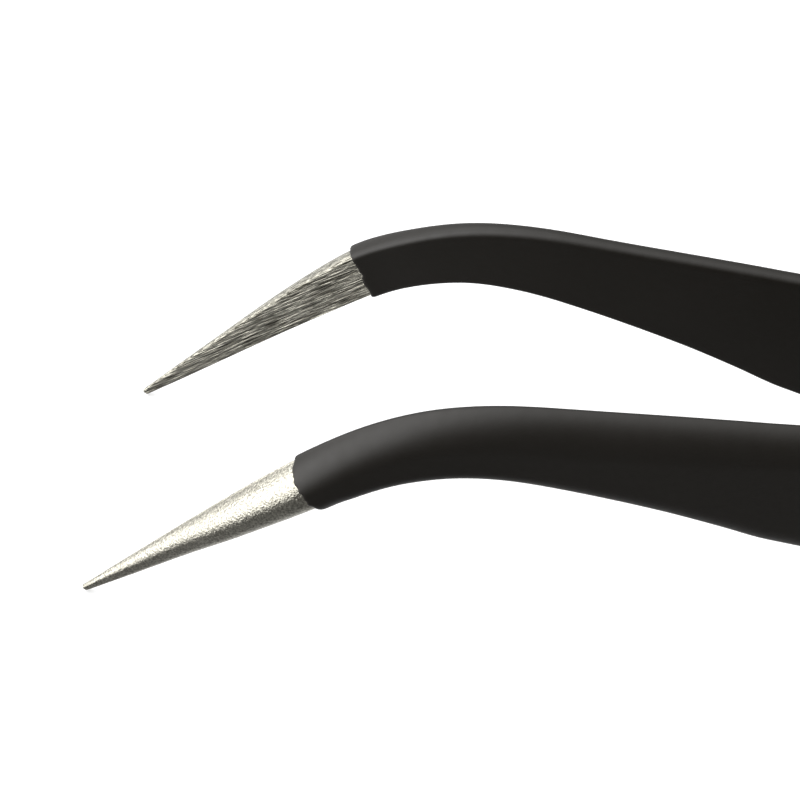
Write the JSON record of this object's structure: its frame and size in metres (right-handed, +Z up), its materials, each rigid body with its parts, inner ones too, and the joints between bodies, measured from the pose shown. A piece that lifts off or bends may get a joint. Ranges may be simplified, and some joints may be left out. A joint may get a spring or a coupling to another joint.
{
  "type": "curved precision tweezers",
  "caption": "Curved-tip precision tweezers with needle points: sprung steel arms joined at the tail, black protective coating, bare polished tips.",
  "frame": {"origin": "middle of the bottom of the whole object's box, on the bench that both tips and the tail rest on", "axes": "+X runs from the tips to the tail, +Z is up with the curved tips pointing down to the bench, and Y is the way the arms close, with the near arm at -Y and the far arm at +Y"},
  "size_m": [0.12, 0.0206, 0.0221],
  "materials": {
    "bare_steel": "satin, bead blasted outside and ground on the inner face",
    "spring_steel": "plain, hidden under the coating",
    "black_coating": "matt, smooth, soft sheen"
  },
  "bodies": {
    "tail": {"near_tang": "spring_steel", "far_tang": "spring_steel", "weld_spots": "spring_steel", "tail_coat": "black_coating"},
    "near_arm": {"near_blade": "bare_steel", "near_blade_coat": "black_coating", "near_leaf": "spring_steel", "near_leaf_coat": "black_coating"},
    "far_arm": {"far_blade": "bare_steel", "far_blade_coat": "black_coating", "far_leaf": "spring_steel", "far_leaf_coat": "black_coating"}
  },
  "joints": [
    {"name": "near_arm_squeeze", "type": "hinge", "parent": "tail", "child": "near_arm", "pos_m": [0.03791, -0.0013, 0.00655], "axis": [-0.1977, 0, -0.9803], "range_deg": [0, 5], "stiffness_Nm_per_rad": 0.5, "deforming": ["near_leaf", "near_leaf_coat"]},
    {"name": "far_arm_squeeze", "type": "hinge", "parent": "tail", "child": "far_arm", "pos_m": [0.03791, 0.0013, 0.00655], "axis": [0.1977, 0, 0.9803], "range_deg": [0, 5], "stiffness_Nm_per_rad": 0.5, "deforming": ["far_leaf", "far_leaf_coat"]}
  ]
}
